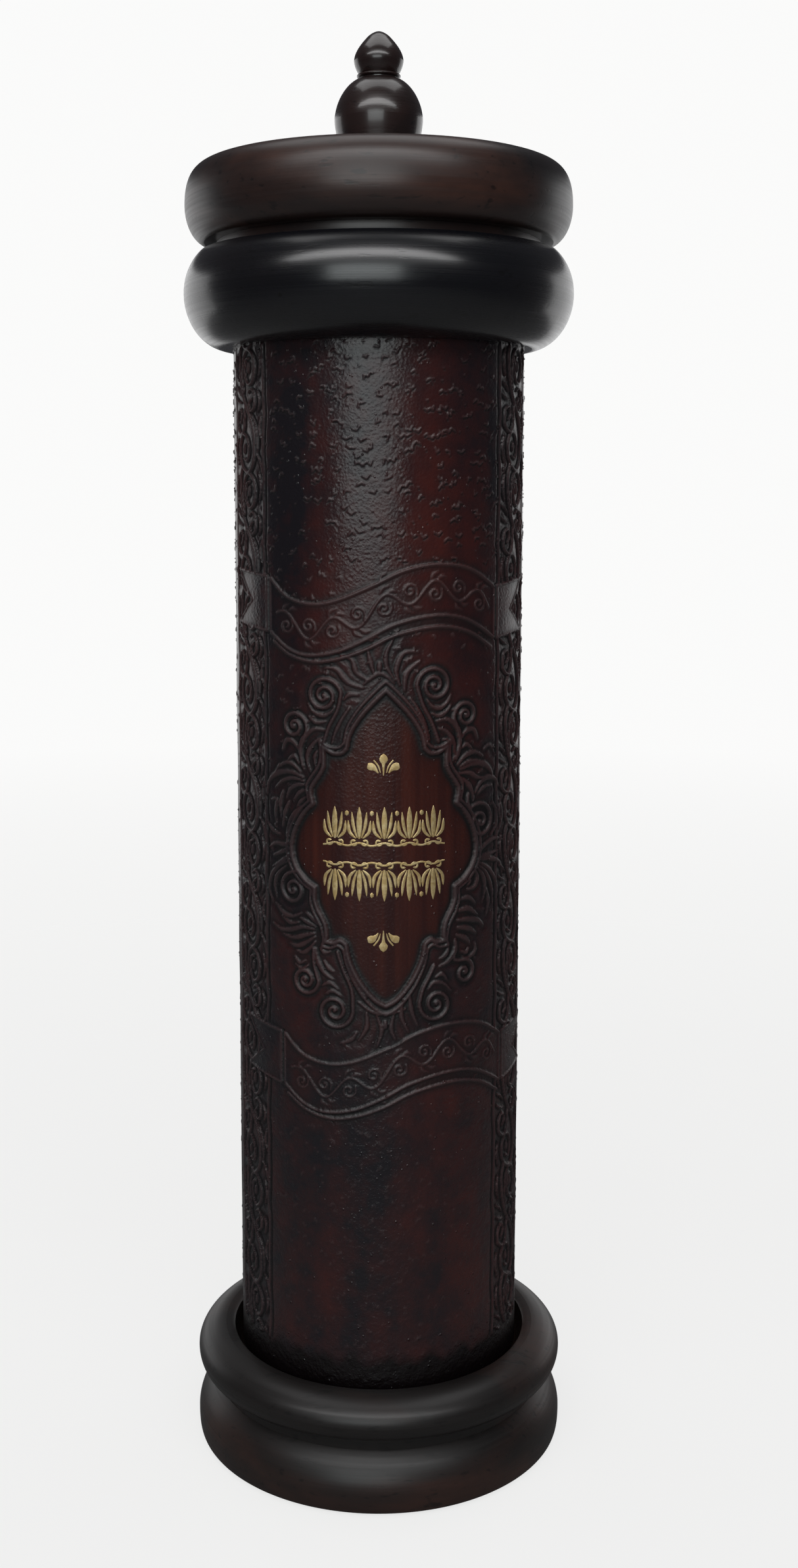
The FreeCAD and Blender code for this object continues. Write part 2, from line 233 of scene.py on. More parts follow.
# Rounded ribs: half width, share of it at both ends, and their points
RIBS = [
    # second lines along the stems of the top volutes
    (0.5, 0.4, 0.6, (10.9, 166.6), (9.9, 169.8), (8.2, 173.4), (6.6, 175.6)),
    (0.5, 0.4, 0.6, (-10, 165.9), (-9.2, 168.4), (-7.8, 171.2), (-6.2, 173.6)),
    # crescents under the top volutes
    (0.62, 0.3, 0.3, (10.3, 175.2), (11.6, 173.7), (13.4, 173.4), (15, 174.6), (15.9, 176.2)),
    (0.62, 0.3, 0.3, (11.3, 172.3), (13, 171.7), (14.8, 172.6), (15.9, 174)),
    (0.62, 0.3, 0.3, (-15.5, 174.2), (-14.2, 172.5), (-12, 171.8), (-10.2, 172.6), (-9.4, 173.8)),
    (0.62, 0.3, 0.3, (-15.4, 171.5), (-13.6, 170.3), (-11.3, 170.6)),
    # big leaves at the shoulders
    (0.8, 0.4, 0.3, (12.5, 170.6), (14.8, 170.9), (16.8, 169.7), (18.1, 167.4), (18, 163.8), (17, 161.6)),
    (0.7, 0.4, 0.3, (13, 169), (14.9, 168.2), (16.5, 166), (16.8, 163.4), (16.3, 161.4)),
    (0.55, 0.3, 0.3, (13.8, 166.6), (15.2, 166.4), (15.7, 164.4), (15.5, 162.6)),
    (0.8, 0.4, 0.3, (-11.6, 168.7), (-14, 168.8), (-16.2, 167.2), (-17.4, 164.8), (-17.2, 162),
     (-16.5, 160)),
    (0.7, 0.4, 0.3, (-11.9, 167.2), (-13.7, 166.2), (-15.4, 164), (-15.7, 161.8), (-14.9, 159.6)),
    (0.55, 0.3, 0.3, (-13, 164.6), (-13.9, 163), (-13.7, 160.6)),
    # lobes outside them
    (0.75, 0.4, 0.4, (18.4, 166.5), (20, 168.2), (21.8, 168.2), (22.9, 166.2)),
    (0.6, 0.4, 0.4, (18.5, 164.4), (20, 165.2), (21.4, 163.9)),
    (0.55, 0.4, 0.3, (24.7, 163.6), (26.5, 164.5), (28, 163)),
    (0.75, 0.4, 0.4, (-22.2, 163.8), (-21, 166), (-19.2, 165.8), (-17.8, 164.2)),
    (0.6, 0.4, 0.4, (-20.6, 161.9), (-19, 162.8), (-17.8, 161.2)),
    # the shell on the right shoulder
    (0.75, 0.5, 0.3, (17.6, 161), (19.6, 162.8), (22.2, 163.4), (24.6, 162.2)),
    (0.6, 0.5, 0.3, (18.2, 160.6), (21, 161.6), (23.8, 161.4)),
    (0.85, 0.5, 0.4, (18.4, 160), (22, 160.9), (25.2, 160.4), (27.2, 158.8), (27.9, 157.2)),
    (0.65, 0.5, 0.3, (17.9, 159.2), (20.8, 159), (23, 157.8), (25.3, 157.6)),
    (0.75, 0.5, 0.3, (17.8, 158.4), (20, 157), (21.5, 154.8), (21.8, 152.8)),
    (0.85, 0.4, 0.4, (22.4, 154.6), (24.1, 156.7), (26.5, 157.5), (28.9, 156.8), (30.2, 155)),
    (0.6, 0.4, 0.4, (23, 154.2), (25.2, 155.6), (27.6, 155.6)),
    (0.7, 0.4, 0.4, (29.4, 153), (31.2, 150.6), (31.4, 147.4), (29.9, 144.8)),
    (0.6, 0.4, 0.4, (28, 152), (29.4, 149.6), (29.2, 146.6), (27.4, 144.6)),
    # the sprays under the right volute
    (0.75, 0.5, 0.3, (23.4, 141.2), (26, 143.1), (29.4, 143.8), (33, 142.6)),
    (0.65, 0.5, 0.3, (23.9, 140.4), (26.8, 140.6), (30.4, 141)),
    (0.75, 0.5, 0.3, (23.9, 139.8), (27.2, 139.6), (30.8, 138.2), (32.2, 134.8)),
    (0.7, 0.5, 0.3, (23.8, 139.2), (26.8, 137.4), (29.2, 134.6), (30.4, 130.6)),
    (0.65, 0.5, 0.3, (23.4, 138.8), (25.9, 136.6), (27.9, 133), (28.4, 129)),
    (0.7, 0.5, 0.3, (22.8, 138.4), (24.9, 136.2), (25.6, 133.4), (24.8, 130.4)),
    (0.7, 0.5, 0.5, (22, 138.2), (23.2, 136.2), (22.4, 134.2), (20.4, 133.8)),
    (0.55, 0.4, 0.4, (19.8, 136.2), (21, 135.6), (20.4, 134.6)),
    (0.65, 0.4, 0.3, (25.9, 133.2), (26.7, 130.4), (26, 127.4)),
    # the lower right shell
    (0.7, 0.5, 0.3, (18.4, 131.8), (20.6, 132), (22.6, 130.4)),
    (0.85, 0.5, 0.3, (18, 129.4), (20.6, 129.6), (23.2, 127.8)),
    (0.9, 0.5, 0.3, (17.8, 127.4), (20.8, 127.2), (23.4, 126.6), (25, 125.2)),
    (0.85, 0.5, 0.3, (17.8, 125.8), (20.8, 125.2), (22.8, 123.8)),
    (0.8, 0.5, 0.3, (17.6, 124.2), (19.8, 123.2), (21.2, 121.8)),
    (0.6, 0.4, 0.4, (22.4, 122), (22.6, 120), (20.8, 118.8), (19, 119.2)),
    (0.6, 0.4, 0.4, (20.8, 121), (20, 120), (18.6, 120.6)),
    # the lower right leaf and the arcs over its volute
    (0.8, 0.4, 0.3, (17.2, 123.4), (17.2, 121), (15.7, 118.9), (13.3, 117.8)),
    (0.65, 0.3, 0.3, (15.6, 121.8), (14.8, 120.2), (13.2, 119.4)),
    (0.6, 0.3, 0.3, (12.4, 115.5), (14, 116.1), (15.3, 114.5)),
    (0.6, 0.3, 0.3, (10.8, 113), (12, 114.4), (14.2, 114.1), (16.2, 112.2)),
    # the shell on the left shoulder
    (0.6, 0.5, 0.3, (-17.4, 159.4), (-18.9, 160.7), (-20.8, 161.3), (-23, 160.3), (-24.6, 158.8)),
    (0.85, 0.5, 0.4, (-16.8, 158.4), (-19.4, 159.2), (-22.4, 159.1), (-25, 158), (-26.7, 156.2),
     (-27.1, 153.8)),
    (0.6, 0.5, 0.3, (-16.6, 157.6), (-19.4, 158), (-22.2, 157.2), (-24.4, 155.4)),
    (0.7, 0.5, 0.3, (-16.4, 156.8), (-18.4, 156.6), (-20.2, 155.5), (-21.2, 153.6)),
    (0.65, 0.5, 0.3, (-16.3, 155.7), (-17.8, 155), (-19.2, 153.2)),
    (0.6, 0.5, 0.3, (-16.1, 154.2), (-17.4, 153.2), (-18.4, 151.8)),
    (0.6, 0.4, 0.3, (-25.6, 152.8), (-23.9, 152.9), (-24.4, 150.2), (-24, 147.8)),
    (0.75, 0.4, 0.4, (-15.9, 152.9), (-18.2, 151.2), (-20.2, 148.8), (-21.2, 145.4)),
    (0.65, 0.4, 0.3, (-20.4, 153), (-21.6, 150.4), (-22.2, 147.2)),
    (0.65, 0.4, 0.3, (-22, 155.2), (-22.9, 152.2), (-22.6, 149)),
    (0.65, 0.4, 0.4, (-27, 147.6), (-25.3, 146.2), (-23, 145.5)),
    # the sprays over the left volute
    (0.7, 0.5, 0.3, (-19.6, 144.4), (-21.6, 143.4), (-24.2, 143.4), (-26.6, 142.2)),
    (0.7, 0.5, 0.3, (-19.7, 143), (-22.4, 141.8), (-25.2, 140.6)),
    (0.65, 0.5, 0.3, (-19.8, 141.6), (-22.2, 140), (-25.6, 138)),
    (0.7, 0.4, 0.4, (-20, 140.2), (-23.2, 138.8), (-25.8, 136.2), (-26.6, 133), (-25.4, 130.4)),
    (0.65, 0.4, 0.4, (-21.4, 138.8), (-23.8, 136.8), (-24.8, 134.2), (-24.2, 131.6)),
    (0.7, 0.4, 0.4, (-24.4, 130.2), (-22.2, 128.4), (-19.8, 128), (-17.4, 129)),
    (0.65, 0.4, 0.4, (-22.6, 127.8), (-20.4, 126.6), (-18, 126.9)),
    # the lower left shell
    (0.7, 0.5, 0.3, (-13.4, 127), (-14.9, 128.4), (-16.4, 129.4)),
    (0.65, 0.5, 0.3, (-13.8, 126.4), (-15.9, 127.2), (-17.8, 128)),
    (0.75, 0.5, 0.3, (-14.2, 125.8), (-17, 126), (-20.4, 125), (-23, 124.8), (-25.4, 125.8)),
    (0.75, 0.5, 0.3, (-14.2, 125), (-16.8, 124.2), (-19.4, 123.4), (-22.2, 123.8)),
    (0.75, 0.5, 0.3, (-14.1, 124.2), (-16.4, 122.6), (-18.6, 121.7), (-20.4, 122.1)),
    (0.65, 0.5, 0.3, (-14, 123.2), (-15.6, 121.3), (-17.2, 120.4), (-18.8, 120.8)),
    (0.6, 0.4, 0.4, (-19.2, 119.4), (-17.9, 118.1), (-16.4, 118.8)),
    (0.6, 0.4, 0.4, (-19, 117.8), (-17.4, 116.8), (-15.8, 117.8)),
    # the lower left leaf and the arcs over its volute
    (0.8, 0.4, 0.3, (-13.9, 121.8), (-13.6, 119.4), (-12.1, 116.8), (-9.9, 115.2)),
    (0.65, 0.3, 0.3, (-12.9, 122), (-11.8, 121), (-10.4, 121.4)),
    (0.6, 0.3, 0.3, (-12, 119.2), (-10.8, 117.6), (-9.6, 117)),
    (0.5, 0.4, 0.6, (-7.4, 121.2), (-6.4, 118), (-4.6, 114.4), (-2.6, 111.8)),
    (0.6, 0.3, 0.3, (-12.4, 113.8), (-10.6, 114.5), (-8.8, 113.2)),
    (0.6, 0.3, 0.3, (-11.7, 112.1), (-9.9, 112.8), (-8, 111.6)),
    # the crown over the panel
    (0.7, 0.4, 0.3, (4.4, 178.4), (3.6, 181.6), (5.2, 185), (8.4, 185.2)),
    (0.7, 0.4, 0.3, (5.4, 177.2), (5.8, 180.8), (8.8, 183.4)),
    (0.65, 0.4, 0.3, (3.4, 179.4), (1.6, 182.4), (1.6, 185.2), (3, 188)),
    (0.65, 0.4, 0.3, (-1, 180.8), (-1.8, 183.6), (-2.4, 186)),
    (0.7, 0.4, 0.3, (-2.2, 179.4), (-4.6, 181), (-5.6, 183.6), (-8, 184.6)),
    (0.7, 0.4, 0.3, (-3.2, 177.8), (-6.4, 178.9), (-9, 181.6), (-11.6, 181.8)),
    (0.6, 0.4, 0.3, (-4.2, 176.4), (-6.2, 176.4), (-7.4, 175.2)),
    (0.75, 0.7, 0.7, (0.1, 181.6), (0.2, 183)),
    (0.6, 0.4, 0.4, (-3.2, 178.6), (0.2, 180.9), (3.2, 178.8)),
    # the tuft under the panel
    (0.6, 0.4, 0.4, (-4.4, 110.8), (-1.2, 108.6), (2.6, 108.3), (5.8, 109.2)),
    (0.65, 0.4, 0.3, (6.6, 112.6), (7, 108.8), (8.4, 105.2)),
    (0.65, 0.4, 0.3, (5.2, 111.4), (4.8, 107.6), (6.4, 104)),
    (0.65, 0.4, 0.3, (3.2, 108), (2.6, 105), (3.6, 102.4)),
    (0.65, 0.4, 0.3, (-0.4, 107.8), (0.6, 104.6), (-0.4, 101)),
    (0.65, 0.4, 0.3, (-2.6, 108.6), (-2.6, 105.2), (-4.4, 102.2)),
    (0.65, 0.4, 0.3, (-4.8, 104), (-6, 102.4), (-8.4, 101.4)),
    (0.7, 0.7, 0.7, (1.4, 106.4), (1.4, 105.2)),
]
VOLUTE_HALF, VOLUTE_HEIGHT = 0.55, 0.4
RIB_HEIGHT = 0.34
SUNK_REACH, SUNK_DEPTH = 1.9, 0.12  # the skin between the ribs lies lower


def emboss_scrollwork(relief):
    for centre, radius, start, turns, *stem in VOLUTES:
        whorl = coil(centre, radius, 0.3, start, turns)
        line = np.vstack([smooth([*stem, tuple(whorl[0])])[:-1], whorl])
        relief.ridge(line, VOLUTE_HALF, VOLUTE_HEIGHT, ends=(0.8, 0.75), ground=SUNK_REACH)
        relief.ridge([centre, (centre[0], centre[1] + 0.1)], 0.5, VOLUTE_HEIGHT)
    for width, start, end, *points in RIBS:
        relief.ridge(smooth(points), width, RIB_HEIGHT, ends=(start, end), dish=0.35, ground=SUNK_REACH)
    relief.ridge(panel_outline(OUTER_LINE), 0.45, 0.3, ground=1.2)


# ---- ribbons ----

# Edges of the upper ribbon from left to right: its top, its bottom and the fold line under it
RIBBON_TOP = [(-25.5, 200.3), (-20.6, 196.4), (-14.8, 195), (-9, 195.8), (-1.4, 198.9), (5.3, 202),
              (12.8, 203.3), (20.3, 202.3), (27.8, 198.2)]
RIBBON_LOW = [(-25.5, 189), (-20.6, 185.6), (-15.6, 184.3), (-9, 185.2), (-3, 187.7), (3.6, 191),
              (12, 192.7), (19.5, 191.8), (27.8, 187.4)]
RIBBON_FOLD = [(-24.4, 187), (-19.8, 184.2), (-13.9, 183), (-8.1, 183.9), (-2.3, 186), (4, 188.9),
               (12.8, 190.4), (20.3, 189.1), (26.9, 185.4)]
LOWER_RIBBON = (3.4, -98.4)  # how far the lower ribbon lies from the upper one
EDGE_HALF, EDGE_HEIGHT = 0.45, 0.4
TUFT = (1.6, 104.2), 4.2, 3.4  # where the tuft under the panel lies over the lower ribbon
TAIL_NEAR, TAIL_NOTCH, TAIL_TIP = 1.0, 6.6, 13.2  # how far a tail reaches past the ribbon's end
# The ornament on a ribbon: the half waves of its stem, their swing, and the leaves over each crown
ARCHES, SWING = 9, 2.0
LEAVES = ((-0.9, 2.3), (-0.5, 3.3), (0.9, 3.9)), ((0.4, 2.3), (1.5, 2.9), (2.6, 2.6))
ORNAMENT_HALF, ORNAMENT_HEIGHT = 0.34, 0.34


def ribbon_ornament(relief, top, low):
    """A running scroll with leaves along the ribbon, where a real one would have lettering."""
    s = np.linspace(top[0, 0] + 2.0, top[-1, 0] - 2.0, 150)
    middle = 0.5 * (np.interp(s, *top.T) + np.interp(s, *low.T))
    pitch = (s[-1] - s[0]) / ARCHES
    stem = np.stack([s, middle + SWING * np.sin((s - s[0]) / pitch * math.pi)], 1)
    relief.ridge(stem, ORNAMENT_HALF, ORNAMENT_HEIGHT)
    for arch in range(ARCHES):
        s0 = s[0] + (arch + 0.5) * pitch
        z0 = np.interp(s0, s, middle)
        way = -1 if arch % 2 else 1
        whorl = coil((s0 - 0.1, z0 - way * 0.75), 1.75, 0.3, way * 35, -way * 1.35)
        relief.ridge(whorl, ORNAMENT_HALF, ORNAMENT_HEIGHT, ends=(0.7, 0.9))
        for leaf in LEAVES:
            relief.ridge(placed(leaf, s0, z0, way), 0.5, ORNAMENT_HEIGHT, ends=(0.4, 0.3), dish=0.3)


def ribbon_tail(relief, side, edge_s, high, low):
    """The forked end of a ribbon, folded back behind its body."""
    middle = (high + low) / 2 + 0.4
    near, notch, tip = (edge_s + side * reach for reach in (TAIL_NEAR, TAIL_NOTCH, TAIL_TIP))
    tail = np.array([(near, high), (tip, high + 1.2), (notch, middle), (tip, low + 1.4), (near, low),
                     (near, high)])
    rows, cols, s, z = relief.window(tail.min(0), tail.max(0))
    bulge = 0.1 + 0.12 * np.cos((z - middle) / (high - low) * math.pi)
    relief.fill(rows, cols, inside(tail, s, z), bulge)
    relief.ridge(tail, EDGE_HALF, 0.36)
    relief.groove([(edge_s + side * 0.5, low), (edge_s + side * 0.5, high)], 0.7, 0.25)


def emboss_ribbon(relief, shift):
    top, low, fold = (smooth(line) + shift for line in (RIBBON_TOP, RIBBON_LOW, RIBBON_FOLD))
    rows, cols, s, z = relief.window(low.min(0), top.max(0))
    relief.fill(rows, cols, (z < np.interp(s, *top.T)) & (z > np.interp(s, *low.T)), 0.05)
    for line in (top, low, fold):
        relief.ridge(line, EDGE_HALF, EDGE_HEIGHT)
    for end, side in ((0, -1), (-1, 1)):
        relief.ridge([low[end], top[end]], 0.42, 0.38)
        ribbon_tail(relief, side, top[end, 0], top[end, 1] + 0.2, low[end, 1])
    ribbon_ornament(relief, top, low)


# ---- borders and grain ----

BORDER_PITCH = 25.9
BORDERS = ((-34.2, 222.3), (36.2, 222.8))  # the middle of each, and the top of one of its upper coils
BORDER_HALF, BORDER_HEIGHT = 7.3, 0.5
# One repeat of a border: half width, share of it at both ends, and points from the top of its coil
BORDER_UNIT = [
    # the strand that runs down on the left, crosses over and winds up into the lower coil
    (0.52, 0.9, 0.7, (-2.2, 1.4), (-3.3, -1.2), (-3.1, -4.8), (-2.1, -8.8), (-0.3, -11.8), (2, -14.8),
     (3.3, -17.8), (3.5, -20.8), (2.9, -24), (1.1, -25.8), (-1.3, -25.2), (-3.1, -23.2), (-3.5, -20.3),
     (-1.9, -17.9), (0.2, -18.7), (1.1, -21.3), (0.3, -23.4), (-1.2, -23)),
    # the upper coil
    (0.52, 0.6, 0.7, (-1.2, -9), (-1.7, -5.4), (-1.1, -1.8), (0.7, -0.3), (2.8, -1.3), (3.8, -3.8),
     (3.2, -6.4), (1.7, -7.5), (0.2, -6.8), (-0.4, -4.8), (0, -2.4), (1.3, -2)),
    (0.62, 0.7, 0.7, (1.1, -4.9), (1.3, -3.1)),
    (0.55, 0.7, 0.7, (-1.1, -21.7), (-0.9, -20.1)),
    # the side coil on the left and the arcs over it
    (0.48, 0.8, 0.7, (-0.6, -12.2), (-0.9, -14.6), (-1.4, -17), (-3, -17.7), (-4.9, -16.2), (-4.7, -13.4),
     (-3.1, -12.6), (-2.4, -14.3), (-3.4, -15.4)),
    (0.42, 0.4, 0.4, (-5.9, -10), (-4.4, -10.9), (-2.8, -11.2)),
    (0.42, 0.4, 0.4, (-5.6, -7.6), (-4.2, -8.4), (-3.1, -9.6)),
    # the side coil on the right
    (0.45, 0.6, 0.7, (0.9, -9.2), (2.3, -8.5), (3.6, -9.8), (3.5, -12.2), (2.1, -13.1), (1.2, -11.6),
     (2.2, -10.6)),
    # leaves
    (0.42, 0.4, 0.3, (2.2, -13.6), (4.1, -16.4), (4.7, -19.6), (4.4, -22.6)),
    (0.42, 0.4, 0.3, (4.6, -8.9), (5.6, -11.1), (4.7, -13.4)),
    (0.42, 0.4, 0.3, (6, -14.2), (5.5, -17), (6.2, -19.4)),
    (0.42, 0.4, 0.3, (5.2, -0.4), (6, -3.2), (5, -6.2)),
    (0.42, 0.4, 0.3, (4.6, -22.4), (6, -24.2), (6.1, -26.6)),
    (0.42, 0.4, 0.3, (-4.8, -0.6), (-5.6, -3.4), (-4.5, -6.6)),
    (0.42, 0.4, 0.3, (-5.2, -18.6), (-6, -21.2), (-4.9, -24.4)),
]


def emboss_borders(relief):
    for middle, level in BORDERS:
        for repeat in range(-2, 8):
            for width, start, end, *points in BORDER_UNIT:
                line = smooth(points) + [middle, level - repeat * BORDER_PITCH]
                line = line[(line[:, 1] > PLAIN_Z) & (line[:, 1] < COLLAR_LOW + 3)]
                if len(line) > 3:
                    relief.ridge(line, width, BORDER_HEIGHT, ends=(start, end), ground=1.2)
        for edge in (-BORDER_HALF, BORDER_HALF):
            column = np.array([(middle + edge, z) for z in np.linspace(PLAIN_Z, LEATHER_TOP, 60)])
            column[:, 0] += 0.3 * np.sin(column[:, 1] / 2.1) * np.sin(column[:, 1] / 7.7)
            relief.groove(column, 0.5, 0.16)
            relief.ridge(column - [np.sign(edge) * 0.75, 0], 0.4, 0.22)


# The marks of the grain: their spacing, and then, as z goes up, the share of the places that have one,
# their size and their height
MARK_STEP = 2.9
MARK_SHARE = (88, 105, 180, 203, 250), (0.8, 0.35, 0.45, 0.9, 0.95)
MARK_SIZE = (85, 110, 195, 210), (0.55, 0.6, 0.8, 1.0)
MARK_HEIGHT = (90, 110, 200, 220), (0.13, 0.15, 0.24, 0.29)
SHADOWED_SIZE = 0.9  # marks above this size have a groove just below them


def mark_line(s, z, size, lean, bends, lengths):
    """A dot, or a zigzag of as many runs as there are bends."""
    line = [(s, z)]
    for bend, length in zip(bends, lengths):
        way = lean + bend * (1 if len(line) % 2 else -1)
        s, z = s + size * length * math.cos(way), z + size * length * math.sin(way)
        line.append((s, z))
    if len(line) == 1:
        line.append((s + 0.05, z))
    return np.array(line)


def emboss_marks(relief):
    """The worn grain: zigzag marks and dots, thick near the collar and tiny towards the base."""
    draw = np.random.default_rng(11)
    for s0 in np.arange(-100, 100, MARK_STEP):
        for z0 in np.arange(PLAIN_Z, COLLAR_LOW + 1, MARK_STEP):
            s, z = s0 + draw.uniform(0, MARK_STEP), z0 + draw.uniform(0, MARK_STEP)
            kind, lean, keep = draw.uniform(0, 1), draw.uniform(-0.7, 0.7), draw.uniform(0, 1)
            bends = draw.uniform(0.35, 1.2, 4) * (1 if draw.uniform(0, 1) < 0.5 else -1)
            lengths = draw.uniform(0.55, 1.15, 4)
            width = draw.uniform(0.21, 0.29)
            in_border = any(abs(s - middle) < BORDER_HALF for middle, _ in BORDERS)
            if in_border or keep > np.interp(z, *MARK_SHARE):
                continue
            size = np.interp(z, *MARK_SIZE)
            runs = 0 if kind < 0.3 else 2 if kind < 0.8 else 4
            line = mark_line(s, z, size, lean, bends[:runs], lengths)
            height = np.interp(line[-1, 1], *MARK_HEIGHT)
            relief.ridge(line, width * (0.7 + 0.3 * size), height, ends=(0.8, 0.8))
            if size > SHADOWED_SIZE:
                relief.groove(line + [0.08, -0.36], 0.3, 0.11)


def blurred(values, reach, passes=2):
    """values with detail finer than about reach grid steps smoothed away."""
    for axis in (0, 1):
        for _ in range(passes):
            pad = [(reach + 1, reach) if a == axis else (0, 0) for a in (0, 1)]
            total = np.cumsum(np.pad(values, pad, mode="edge"), axis=axis)
            count = values.shape[axis]
            upper = np.take(total, range(2 * reach + 1, 2 * reach + 1 + count), axis=axis)
            values = (upper - np.take(total, range(count), axis=axis)) / (2 * reach + 1)
    return values


def emboss(s, z):
    """The whole embossing; what comes later lies over what came before."""
    relief = Relief(s, z)
    emboss_marks(relief)
    emboss_borders(relief)
    relief.clear((PANEL_S, PANEL_Z), 22, 38)
    emboss_ribbon(relief, (0.0, 0.0))
    emboss_ribbon(relief, LOWER_RIBBON)
    relief.clear(*TUFT)
    emboss_scrollwork(relief)
    emboss_panel(relief)
    relief.height -= SUNK_DEPTH * relief.ground * (relief.height < SUNK_DEPTH)
    return relief


# ---- mesh helpers ----


def new_object(name, data):
    obj = bpy.data.objects.new(name, data)
    bpy.context.scene.collection.objects.link(obj)
    return obj


def mesh_object(name, points, faces, material, sharp=40):
    """A smooth-shaded object from points in metres and faces as lists of indices."""
    mesh = bpy.data.meshes.new(name)
    mesh.vertices.add(len(points))
    mesh.vertices.foreach_set("co", np.asarray(points, np.float32).ravel())
    sizes = np.concatenate([np.full(len(block), block.shape[1]) for block in faces])
    corners = np.concatenate([block.ravel() for block in faces])
    starts = np.concatenate([[0], np.cumsum(sizes)[:-1]])
    mesh.loops.add(len(corners))
    mesh.loops.foreach_set("vertex_index", corners.astype(np.int32))
    mesh.polygons.add(len(sizes))
    mesh.polygons.foreach_set("loop_start", starts.astype(np.int32))
    mesh.polygons.foreach_set("use_smooth", np.ones(len(sizes), bool))
    mesh.update(calc_edges=True)
    mesh.validate()
    mesh.set_sharp_from_angle(angle=math.radians(sharp))
    mesh.materials.append(material)
    return new_object(name, mesh)


def attribute(obj, name, values):
    layer = obj.data.attributes.new(name, "FLOAT", "POINT")
    layer.data.foreach_set("value", np.asarray(values, np.float32).ravel())


def grid_faces(rows, cols, closed_rows=False, closed_cols=False, first=0):
    """Quads between the points of a grid stored row by row."""
    r = np.arange(rows if closed_rows else rows - 1)[:, None]
    c = np.arange(cols if closed_cols else cols - 1)[None, :]
    r1, c1 = (r + 1) % rows, (c + 1) % cols
    corners = [r * cols + c, r * cols + c1, r1 * cols + c1, r1 * cols + c]
    return np.stack(corners, -1).reshape(-1, 4) + first


def wrap(s, z, radius):
    """Points in metres from s and z in millimetres, laid on the tube at a radius in millimetres."""
    angle = s / LEATHER_R
    return np.stack([radius * np.sin(angle), -radius * np.cos(angle), z + 0 * s], -1) * MM


# ---- materials ----


class Surface:
    """Short-hand for the nodes of one procedural material."""

    def __init__(self, name, **sockets):
        self.material = bpy.data.materials.new(name)
        self.material.use_nodes = True
        self.tree = self.material.node_tree
        self.shader = self.tree.nodes["Principled BSDF"]
        self.place = self.node("TexCoord").outputs["Object"]
        self.set(**sockets)

    def set(self, **sockets):
        for name, value in sockets.items():
            self.plug(self.shader.inputs[name.replace("_", " ")], value)

    def plug(self, socket, value):
        if isinstance(value, bpy.types.NodeSocket):
            self.tree.links.new(value, socket)
        else:
            socket.default_value = value

    def node(self, kind, inputs=None, **settings):
        made = self.tree.nodes.new("ShaderNode" + kind)
        for name, value in settings.items():
            setattr(made, name, value)
        for name, value in (inputs or {}).items():
            self.plug(made.inputs[name], value)
        return made

    def stretched(self, x=1.0, y=1.0, z=1.0):
        return self.node("Mapping", {"Vector": self.place, "Scale": (x, y, z)}).outputs[0]

    def noise(self, scale, detail, rough, vector=None, distortion=0.0):
        inputs = {"Vector": vector or self.place, "Scale": scale, "Detail": detail, "Roughness": rough,
                  "Distortion": distortion}
        return self.node("TexNoise", inputs).outputs[0]

    def cells(self, scale):
        return self.node("TexVoronoi", {"Vector": self.place, "Scale": scale}).outputs[0]

    def span(self, value, low, high, to_low=0.0, to_high=1.0):
        inputs = {"Value": value, "From Min": low, "From Max": high, "To Min": to_low, "To Max": to_high}
        return self.node("MapRange", inputs).outputs[0]

    def sum(self, a, b, operation="ADD"):
        return self.node("Math", {0: a, 1: b}, operation=operation).outputs[0]

    def times(self, a, b):
        return self.sum(a, b, "MULTIPLY")

    def blend(self, factor, a, b):
        mixer = self.node("Mix", data_type="RGBA")
        for index, value in ((0, factor), (6, a), (7, b)):
            self.plug(mixer.inputs[index], value)
        return mixer.outputs[2]

    def value(self, name):
        return self.node("Attribute", attribute_name=name).outputs["Fac"]

    def bump(self, height, depth, normal=None):
        """Bump depth metres deep; an earlier bump may come first."""
        inputs = {"Height": height, "Distance": depth, "Strength": 1.0}
        if normal is not None:
            inputs["Normal"] = normal
        return self.node("Bump", inputs).outputs[0]

    def mottle(self, pattern, dark, light, depth, low=0.3, high=0.7):
        """Two tones that follow a pattern, which also stands out as bumps depth metres deep."""
        tone = self.blend(self.span(pattern, low, high), dark, light)
        self.set(Base_Color=tone, Normal=self.bump(pattern, depth))


BLACK_DYE, OXBLOOD = (0.0104, 0.0084, 0.0112, 1), (0.088, 0.0135, 0.0085, 1)
FIELD_DARK, FIELD_RED = (0.03, 0.0062, 0.005, 1), (0.076, 0.0165, 0.0095, 1)
FIELD_CLOUD, FIELD_EDGE_SHADE = (0.024, 0.0058, 0.007, 1), (0.0135, 0.0052, 0.0056, 1)
# colour for the tops of the raised lines: rubbed wear and a painted highlight
RIDGE_WEAR_AND_HIGHLIGHT = (0.058, 0.034, 0.035, 1)
# colour in the hollows between the raised lines: dark wax and painted shade
WAX_AND_SHADE_IN_HOLLOWS, FOOT_DARK_TONE = (0.0024, 0.0014, 0.0018, 1), (0.003, 0.0014, 0.0018, 1)
PEBBLED_Z = 0.12, 0.09  # in metres: from none to all of the coarse grain, going down


